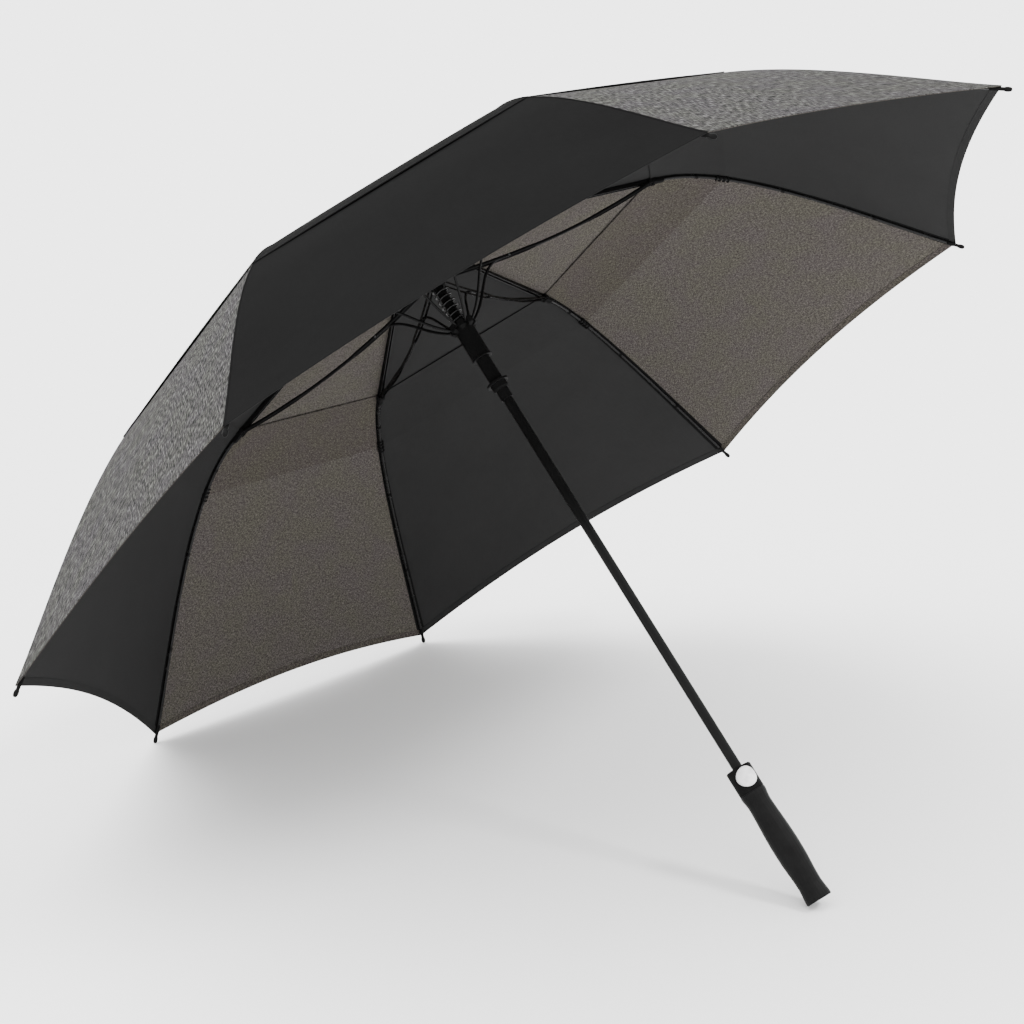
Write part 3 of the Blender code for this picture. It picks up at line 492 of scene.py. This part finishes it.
def add_block(builder, centre, axes, size, rounding):
    """A box along three axes, with rounded edges."""
    part = bmesh.new()
    bmesh.ops.create_cube(part, size=1.0)
    bmesh.ops.scale(part, vec=size, verts=part.verts)
    bmesh.ops.bevel(part, geom=part.edges[:], offset=rounding, segments=2, affect="EDGES", profile=0.5)
    turn = Matrix(axes).transposed().to_4x4()
    turn.translation = centre
    part.transform(turn)
    copies = {v: builder.verts.new(v.co) for v in part.verts}
    for face in part.faces:
        builder.faces.new([copies[v] for v in face.verts])
    part.free()


# ---------------------------------------------------------------- ribs


CROWN_PIVOT = Vector((PIVOT_RADIUS, CROWN_HEIGHT))
CHANNEL = (JOINT_POINT - CROWN_PIVOT).normalized()
ROD_PIVOT = JOINT_POINT + CHANNEL * KNUCKLE
ROD_END = Vector((RIM_RADIUS, 0.0))
ROD_OUT = Vector((math.cos(ROD_END_SLOPE), -math.sin(ROD_END_SLOPE)))

# Outline of the rod's tip: distance past the rim, radius
TIP_PROFILE = (
    (-0.0125, 0.0018), (-0.0118, 0.0027), (-0.003, 0.0026), (-0.002, 0.0021), (0.0035, 0.0021),
    (0.0045, 0.0026), (0.0062, 0.0028), (0.0085, 0.0028), (0.0105, 0.0024), (0.0117, 0.0014), (0.012, 0.0004),
)


def bezier(start, first, second, end, t):
    return (1 - t) ** 3 * start + 3 * (1 - t) ** 2 * t * first + 3 * (1 - t) * t * t * second + t**3 * end


def rod_curve(t):
    """Centre line of the rod, as (radius, height), from its pivot at 0 to the rim at 1."""
    first = ROD_PIVOT + CHANNEL * ROD_START_PULL
    second = ROD_END - ROD_OUT * ROD_END_PULL
    return bezier(ROD_PIVOT, first, second, ROD_END, t)


def rib_line():
    """Line under the cloth, as rows of radius and height: straight channel first, then the rod."""
    inner = [CROWN_PIVOT + (ROD_PIVOT - CROWN_PIVOT) * (i / 40) for i in range(40)]
    return np.array([*inner, *[rod_curve(i / 80) for i in range(81)]], float)


LINE = rib_line()
SLOPES = np.gradient(LINE[:, 1], LINE[:, 0])
LENGTHS = np.concatenate([[0], np.cumsum(np.hypot(np.diff(LINE[:, 0]), np.diff(LINE[:, 1])))])


def rib_points(radii, offset):
    """Radius and height of points that stand off the rib's line, over the given radii."""
    height = np.interp(radii, LINE[:, 0], LINE[:, 1])
    slope = np.interp(radii, LINE[:, 0], SLOPES)
    length = np.sqrt(1 + slope**2)
    return radii - offset * slope / length, height + offset / length


def rib_axes(k, slope):
    """Directions along a slope in the plane of rib k, sideways, and out through the cloth."""
    outward, sideways = AXES[k]
    along = outward * slope.x + UP * slope.y
    return along, sideways, along.cross(sideways).normalized()


def add_thread_ties(builder, k):
    """Turns of thread round the rod at each place where the cloth is tied to it."""
    for share in TIE_SHARES:
        place = rod_curve(share)
        slope = (rod_curve(share + 0.01) - place).normalized()
        along, sideways, normal = rib_axes(k, slope)
        radius = ROD_START_RADIUS - ROD_TAPER * share + TIE_CLEARANCE
        for turn in range(TIE_TURNS):
            middle = in_bay(k, place.x, place.y) + along * (turn - (TIE_TURNS - 1) / 2) * TIE_PITCH
            add_loop(builder, middle, sideways * radius, normal * radius, TIE_THREAD, 14, 6, along)


def add_corner_binding(builder, k):
    """Tape wound round the rod under the corner of the upper cloth. Its turns lean to and fro."""
    for turn in range(BINDING_TURNS):
        radius = UPPER_EDGE - BINDING_LENGTH + BINDING_PITCH * turn
        reach, height = rib_points(np.array([radius, radius + 0.001]), 0.0)
        slope = Vector((reach[1] - reach[0], height[1] - height[0])).normalized()
        along, sideways, normal = rib_axes(k, slope)
        middle = in_bay(k, reach[0], height[0]) + normal * BINDING_OFFSET
        across = sideways * BINDING_HALF_WIDTH
        up = normal * BINDING_HALF_HEIGHT + along * BINDING_LEAN * (-1) ** turn
        add_loop(builder, middle, across, up, BINDING_TAPE, 18, 8, along, 1.2)


def make_rod(k):
    """Outer rod with its moulded tip, and the thread and tape that hold the cloth to it."""
    builder = bmesh.new()
    sideways = AXES[k][1]
    count = 44
    points = [rod_curve(i / count) for i in range(count)]
    radii = [ROD_START_RADIUS - ROD_TAPER * i / count for i in range(count)]
    points = [ROD_PIVOT - CHANNEL * 0.002, *points, ROD_END - ROD_OUT * 0.011]
    radii = [ROD_START_RADIUS - 0.001, *radii, ROD_START_RADIUS - ROD_TAPER]
    add_tube(builder, [in_bay(k, p.x, p.y) for p in points], radii, 12, sideways)
    places = [ROD_END + ROD_OUT * along for along, _ in TIP_PROFILE]
    tip_radii = [radius for _, radius in TIP_PROFILE]
    add_tube(builder, [in_bay(k, p.x, p.y) for p in places], tip_radii, 16, sideways, material=1)
    make_piece(f"rib_rod_and_tip_{k}", builder, [ROD, PLASTIC], f"rod_{k}", [f"rib_rod_{k}"])
    ties = bmesh.new()
    add_thread_ties(ties, k)
    add_corner_binding(ties, k)
    make_piece(f"rod_ties_{k}", ties, [TAPE], f"rod_{k}")


def add_rivet(builder, centre, axis, sunk, height):
    """Domed rivet head that starts a little below the surface at centre."""
    shoulder = ((0.0015, -sunk), (0.0014, 0.0004), (0.0009, height - 0.0001))
    add_turned(builder, centre, axis, ((0.0, -sunk), *shoulder, (0.0, height)), 14, 1)


def make_joint_fitting(k):
    """Riveted clip on the rib where the stretcher is pinned, and the knuckle that holds the rod."""
    builder = bmesh.new()
    axes = rib_axes(k, CHANNEL)
    along, sideways, normal = axes
    joint = in_bay(k, JOINT_POINT.x, JOINT_POINT.y)
    knuckle = (0.0150, 0.0066, 0.0052)
    add_block(builder, joint + along * 0.0090 - normal * 0.0006, axes, knuckle, 0.0009)
    cheek = (0.0110, 0.0011, 0.0062)
    for side in (-1, 1):
        add_block(builder, joint + sideways * side * 0.0046 - normal * 0.0004, axes, cheek, 0.0005)
        add_rivet(builder, joint + sideways * side * 0.0051, sideways * side, 0.0002, 0.0008)
    make_piece(f"joint_fitting_{k}", builder, [PLASTIC, ENAMEL], f"rib_{k}")


# ---------------------------------------------------------------- stretchers and struts


STRETCHER = JOINT_POINT - SLIDER_PIVOT
RIVET_SHARE = STRUT_REACH / STRETCHER.length


def stretcher_point(share):
    """Point on the stretcher's bowed centre line, from the slider at 0 to the rib at 1."""
    along = STRETCHER.normalized()
    across = Vector((along.y, -along.x))
    return SLIDER_PIVOT + STRETCHER * share + across * STRETCHER_BOW * 4 * share * (1 - share)


def strut_point(share):
    """Point on the strut's centre line, whose arch is highest at 5/7 of the way to the rivet."""
    chord = stretcher_point(RIVET_SHARE) - RUNNER_PIVOT
    across = Vector((-chord.y, chord.x)).normalized()
    peak = 5 / 7
    arch = STRUT_BOW * max(share, 0.0) ** 2.5 * (1 - share) / (peak**2.5 * (1 - peak))
    return RUNNER_PIVOT + chord * share + across * arch


def ease(share, start, end):
    """Rises smoothly from 0 at start to 1 at end."""
    place = min(max((share - start) / (end - start), 0.0), 1.0)
    return place * place * (3 - 2 * place)


def make_stretcher(k):
    """Two side strips that close into one bar past the strut, and open again round the rib."""
    builder = bmesh.new()
    sideways = AXES[k][1]
    shares = [-0.006 + 1.012 * i / 48 for i in range(49)]
    for side in (-1, 1):
        points = []
        for share in shares:
            closed = ease(share, *STRIPS_CLOSE) * (1 - ease(share, *STRIPS_OPEN))
            place = stretcher_point(share)
            points.append(in_bay(k, place.x, place.y, side * (STRIP_SPREAD - STRIP_CLOSING * closed)))
        add_tube(builder, points, STRIP_RADIUS, 12, sideways, 0.34)
    middle = [in_bay(k, *stretcher_point(0.4 + 0.24 * i / 16)) for i in range(17)]
    add_tube(builder, middle, BAR_RADIUS, 12, sideways, 0.8)
    place = stretcher_point(RIVET_SHARE)
    for side in (-1, 1):
        add_rivet(builder, in_bay(k, place.x, place.y, side * 0.0037), sideways * side, 0.0003, 0.0009)
    name = f"stretcher_bar_{k}"
    make_piece(name, builder, [ENAMEL, STEEL], f"stretcher_{k}", [f"stretcher_{k}"])


def make_strut(k):
    """Flat arched strip with rounded edges and rounded ends."""
    builder = bmesh.new()
    count = 36
    points = [in_bay(k, *strut_point(-0.018 + 1.036 * i / count)) for i in range(count + 1)]
    radii = [STRUT_RADIUS * min(1.0, 0.45 + 0.3 * min(i, count - i)) for i in range(count + 1)]
    add_tube(builder, points, radii, 12, AXES[k][1], 0.85)
    make_piece(f"strut_bar_{k}", builder, [ENAMEL], f"strut_{k}", [f"strut_{k}"])


# ---------------------------------------------------------------- canopy


Layer = namedtuple("Layer", "start edge billow scallop")
LOWER = Layer(LOWER_START, RIM_RADIUS, 0.0, RIM_SCALLOP)
UPPER = Layer(UPPER_START, UPPER_EDGE, UPPER_BILLOW, 0.0)

# Material slots of every sector: inside, outside, doubled inside and hem in each colour, then tape. The
# inside slots hold painted light shining through the cloth, the outside slots painted shade against the light
# on top, and the doubled inside painted shade of the upper cloth over the lower.
SECTOR_MATERIALS = [
    BLACK_INSIDE_BACKLIT, BLACK_OUTSIDE_SHADED, BLACK_DOUBLE_SHADED, BLACK_HEM,
    GREY_INSIDE_BACKLIT, GREY_OUTSIDE_SHADED, GREY_DOUBLE_SHADED, GREY_HEM,
    TAPE,
]
BLACK_SLOTS = (0, 1, 2, 3)
GREY_SLOTS = (4, 5, 6, 7)
TAPE_SLOT = 8


def neighbour(k, side):
    """The rib before rib k for side -1, and the one after it for side 1."""
    return (k - 1 + side) % BAY_COUNT + 1


def gore_angle(k, side):
    """Angle between rib k and its neighbour."""
    cosine = AXES[k][0].dot(AXES[neighbour(k, side)][0])
    return math.acos(max(-1.0, min(1.0, cosine)))


def canopy_points(k, side, shares, radii, lift, layer):
    """Grid of points on one half gore: shares run from 0 at the rib to 0.5 at the middle of the gore.

    The cloth bulges a little between the ribs and puckers beside its seam."""
    bulge = layer.billow * 4 * shares * (1 - shares) * (radii / layer.edge) ** 2
    fade = np.exp(-shares * 16.0) * np.minimum(shares * 30.0, 1.0)
    pucker = PUCKER_HEIGHT * np.sin(radii * 95.0) * fade
    reach, height = rib_points(radii, lift + bulge + pucker)
    here = np.array(AXES[k][0])
    there = np.array(AXES[neighbour(k, side)][0])
    direction = (1 - shares)[..., None] * here + shares[..., None] * there
    return np.array(RIM) + direction * reach[..., None] + np.array(UP) * height[..., None]


class Span:
    """Radii of a panel's rings, from inner to outer, following the cut of its edge."""

    def __init__(self, inner, outer, rings):
        self.inner = inner
        self.outer = outer
        self.rings = rings

    def __call__(self, shares):
        step = np.linspace(0.0, 1.0, self.rings)[None, :]
        inner = self.inner(shares)
        return inner + (self.outer(shares) - inner) * step


def add_cloth_panel(builder, k, side, layer, shares, span, lifts, materials, hem_edge=None):
    """One panel of cloth. span gives its rings, lifts the heights of its two faces over the rib line.

    hem_edge makes a hem: its texture then runs along the edge at that distance round the gore."""
    across = np.repeat(shares[:, None], span.rings, axis=1)
    radii = span(across)
    grids = [canopy_points(k, side, across, radii, lift, layer) for lift in lifts]
    width = 2 * radii * math.sin(gore_angle(k, side) / 2) * across * side
    length = np.interp(radii, LINE[:, 0], LENGTHS)
    if hem_edge is not None:
        width, length = np.abs(radii - hem_edge(across)), width
    add_slab(builder, grids[0], grids[1], np.stack([width, length], axis=-1), *materials)


def make_sector(k, name, layer, offset, body, node):
    """This rib's share of one canopy layer: cloth, hems, the seam over the rib and the tape under it."""
    builder = bmesh.new()
    whole = np.linspace(0.0, 0.5, 17)
    lifts = (offset, offset + CLOTH)
    under = (offset - LAYER_GAP - HEM_CLOTH, offset - LAYER_GAP)
    over = (offset + CLOTH + LAYER_GAP, offset + CLOTH + LAYER_GAP + SEAM_CLOTH)

    def rim(inset):
        return lambda shares: layer.edge * (1 - layer.scallop * 4 * shares * (1 - shares)) - inset

    def ring(radius):
        return lambda shares: np.full_like(shares, radius)

    hub = ring(layer.start)
    for side in (-1, 1):
        gore = k if side == 1 else neighbour(k, side)
        backlit_inside, shaded_outside, shaded_double, hem = BLACK_SLOTS if gore % 2 == 1 else GREY_SLOTS

        def panel(shares, span, faces, below, above, hem_edge=None):
            add_cloth_panel(builder, k, side, layer, shares, span, faces, (below, above), hem_edge)

        if layer is LOWER:
            covered = ring(UPPER_EDGE - CLOTH_OVERLAP)
            # Where the upper cloth covers it, the lower cloth's inside takes the doubled copy, painted darker
            # as the upper cloth's shade.
            panel(whole, Span(hub, covered, 9), lifts, shaded_double, shaded_outside)
            panel(whole, Span(covered, rim(0.0), 23), lifts, backlit_inside, shaded_outside)
            panel(whole, Span(rim(RIM_HEM), rim(0.0), 3), under, hem, hem, rim(0.0))
            panel(whole, Span(hub, ring(layer.start + INNER_HEM), 3), under, hem, hem, hub)
        else:
            panel(whole, Span(hub, rim(0.0), 27), lifts, backlit_inside, shaded_outside)
            panel(whole, Span(rim(VENT_HEM), rim(0.0), 3), under, TAPE_SLOT, TAPE_SLOT, rim(0.0))
        seam = Span(hub, rim(0.0), 33)
        panel(np.linspace(0.0, TAPE_SHARE, 3), seam, under, TAPE_SLOT, TAPE_SLOT)
        panel(np.linspace(0.0, SEAM_SHARE, 2), seam, over, shaded_outside, shaded_outside)
    piece = make_piece(f"{name}_{k}", builder, SECTOR_MATERIALS, body, [f"{node}_{k}"], 55.0)
    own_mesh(piece)
    return piece


def make_canopy():
    for k in BAYS:
        upper = make_sector(k, "upper_cloth", UPPER, UPPER_OFFSET, f"rib_{k}", "upper_canopy")
        lower = make_sector(k, "lower_cloth", LOWER, LOWER_OFFSET, f"rod_{k}", "lower_canopy")


# ---------------------------------------------------------------- shaft, sliders and handle


def make_opening_spring():
    """Coil spring round the shaft, seated in the runner."""
    builder = bmesh.new()
    base = RIM + UP * SPRING_LOW
    travel = UP * (SPRING_HIGH - SPRING_LOW)
    add_coil(builder, base, travel, AXES[1], SPRING_RADIUS, SPRING_GAUGE, SPRING_TURNS, 40, 8)
    name = "opening_spring_coil"
    spring = make_piece(name, builder, [SPRING_WIRE], "runner", ["opening_spring"])
    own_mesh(spring)


def make_button_spring():
    """Small coil spring behind the button."""
    builder = bmesh.new()
    inward = Vector(joints["button_press"]["axis"]).normalized()
    low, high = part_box("button_spring")
    start = (low + high) / 2 - inward * (BUTTON_SPRING_LENGTH / 2)
    first = inward.cross(UP).normalized()
    axes = (first, inward.cross(first))
    gauge = BUTTON_SPRING_GAUGE
    travel = inward * (BUTTON_SPRING_LENGTH - 2 * gauge)
    base = start + inward * gauge
    add_coil(builder, base, travel, axes, BUTTON_SPRING_RADIUS, gauge, BUTTON_SPRING_TURNS, 24, 6)
    name = "button_spring_coil"
    spring = make_piece(name, builder, [SPRING_WIRE], "button", ["button_spring"])
    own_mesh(spring)


def make_runner_ring():
    """Thin raised ring round the runner."""
    builder = bmesh.new()
    half = 0.0006
    rim = ((0.0123, -half), (0.0129, -half / 2), (0.0129, half / 2), (0.0123, half))
    add_turned(builder, RIM + UP * RUNNER_RING_HEIGHT, UP, ((0.0087, -half), *rim, (0.0087, half)), 48)
    make_piece("runner_ring", builder, [PLASTIC], "runner")


def finish_cad_nodes():
    """Gives the remaining CAD pieces their materials and smooth shading."""
    looks = {
        "shaft_tube": ENAMEL, "crown": PLASTIC, "ferrule": PLASTIC, "handle_head": PLASTIC, "grip": RUBBER,
        "upper_slider": PLASTIC, "runner": PLASTIC, "runner_sleeve": PLASTIC, "button": BUTTON,
        "latch": STEEL,
    }
    for k in BAYS:
        looks[f"rib_channel_{k}"] = ENAMEL
    for name, material in looks.items():
        mesh = nodes[name].data
        mesh.materials.clear()
        mesh.materials.append(material)
        mesh.shade_smooth()
        mesh.set_sharp_from_angle(angle=math.radians(32.0))


# ---------------------------------------------------------------- studio


FLOOR_HALF_SIZE = 60.0
FLOOR_ALBEDO = 0.95
WORLD_STRENGTH = 2.5

# Lamps: name, azimuth, elevation and spread in degrees, strength
LAMPS = (
    ("overhead", 236.0, 66.0, 60.0, 3.6),
    ("side", 33.0, 56.0, 12.0, 1.9),
)

# Camera: its place from the middle of the rim, and its heading, pitch and roll in degrees
CAMERA_PLACE = Vector((1.5797, -1.748, 0.699))
CAMERA_ANGLES = (132.744, -18.412, 0.741)
FOCAL_LENGTH = 73.7
SENSOR_WIDTH = 36.0


def make_floor():
    builder = bmesh.new()
    bmesh.ops.create_grid(builder, x_segments=1, y_segments=1, size=FLOOR_HALF_SIZE)
    mesh = bpy.data.meshes.new("floor")
    builder.to_mesh(mesh)
    builder.free()
    paint = Nodes("floor_paint")
    paint.set(Base_Color=(*[FLOOR_ALBEDO] * 3, 1.0), Roughness=0.9, Specular_IOR_Level=0.1)
    mesh.materials.append(paint.material)
    floor = bpy.data.objects.new("floor", mesh)
    bpy.context.scene.collection.objects.link(floor)


def make_lights():
    """Even surrounding light, a broad lamp from above and a narrower one from the side."""
    world = bpy.data.worlds.new("studio")
    bpy.context.scene.world = world
    world.use_nodes = True
    background = world.node_tree.nodes["Background"]
    background.inputs["Color"].default_value = (1.0, 1.0, 1.0, 1.0)
    background.inputs["Strength"].default_value = WORLD_STRENGTH
    for name, azimuth, elevation, spread, strength in LAMPS:
        light = bpy.data.lights.new(name, "SUN")
        light.angle = math.radians(spread)
        light.energy = strength
        lamp = bpy.data.objects.new(name, light)
        turn = Matrix.Rotation(math.radians(azimuth), 3, "Z")
        lift = Matrix.Rotation(math.radians(90 - elevation), 3, "Y")
        lamp.rotation_euler = (turn @ lift).to_euler()
        bpy.context.scene.collection.objects.link(lamp)


def make_camera():
    data = bpy.data.cameras.new("camera")
    data.lens = FOCAL_LENGTH
    data.sensor_width = SENSOR_WIDTH
    camera = bpy.data.objects.new("camera", data)
    camera.location = RIM + CAMERA_PLACE
    heading, pitch, roll = (math.radians(a) for a in CAMERA_ANGLES)
    turn = Matrix.Rotation(heading - math.pi / 2, 3, "Z") @ Matrix.Rotation(math.pi / 2 + pitch, 3, "X")
    camera.rotation_euler = (turn @ Matrix.Rotation(roll, 3, "Z")).to_euler()
    bpy.context.scene.collection.objects.link(camera)
    bpy.context.scene.camera = camera


def main():
    finish_cad_nodes()
    for k in BAYS:
        make_rod(k)
        make_joint_fitting(k)
        make_stretcher(k)
        make_strut(k)
    make_canopy()
    make_opening_spring()
    make_button_spring()
    make_runner_ring()
    make_floor()
    make_lights()
    make_camera()


main()
